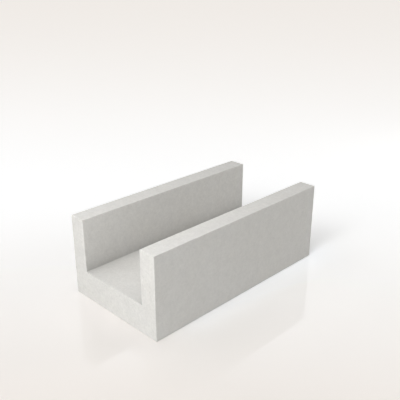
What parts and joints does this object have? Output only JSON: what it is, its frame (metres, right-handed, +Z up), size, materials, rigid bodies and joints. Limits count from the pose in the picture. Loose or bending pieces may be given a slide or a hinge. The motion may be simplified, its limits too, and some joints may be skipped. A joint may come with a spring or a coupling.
{
  "type": "aerated concrete u-block",
  "caption": "Channel-shaped block of pale aerated concrete with two upright side walls on a thicker base, open at the top and both ends, laid as a lintel or ring beam trough.",
  "frame": {"origin": "middle of the bed face, which is the flat underside that the block rests on", "axes": "+X across the width, from one side wall to the other; +Y along the channel; +Z up, out of the open side"},
  "size_m": [0.316, 0.6, 0.221],
  "materials": {
    "aerated_concrete": "matt, fine-pored, cut faces with lightly rubbed arrises"
  },
  "bodies": {
    "root": {"u_block": "aerated_concrete"}
  },
  "joints": []
}
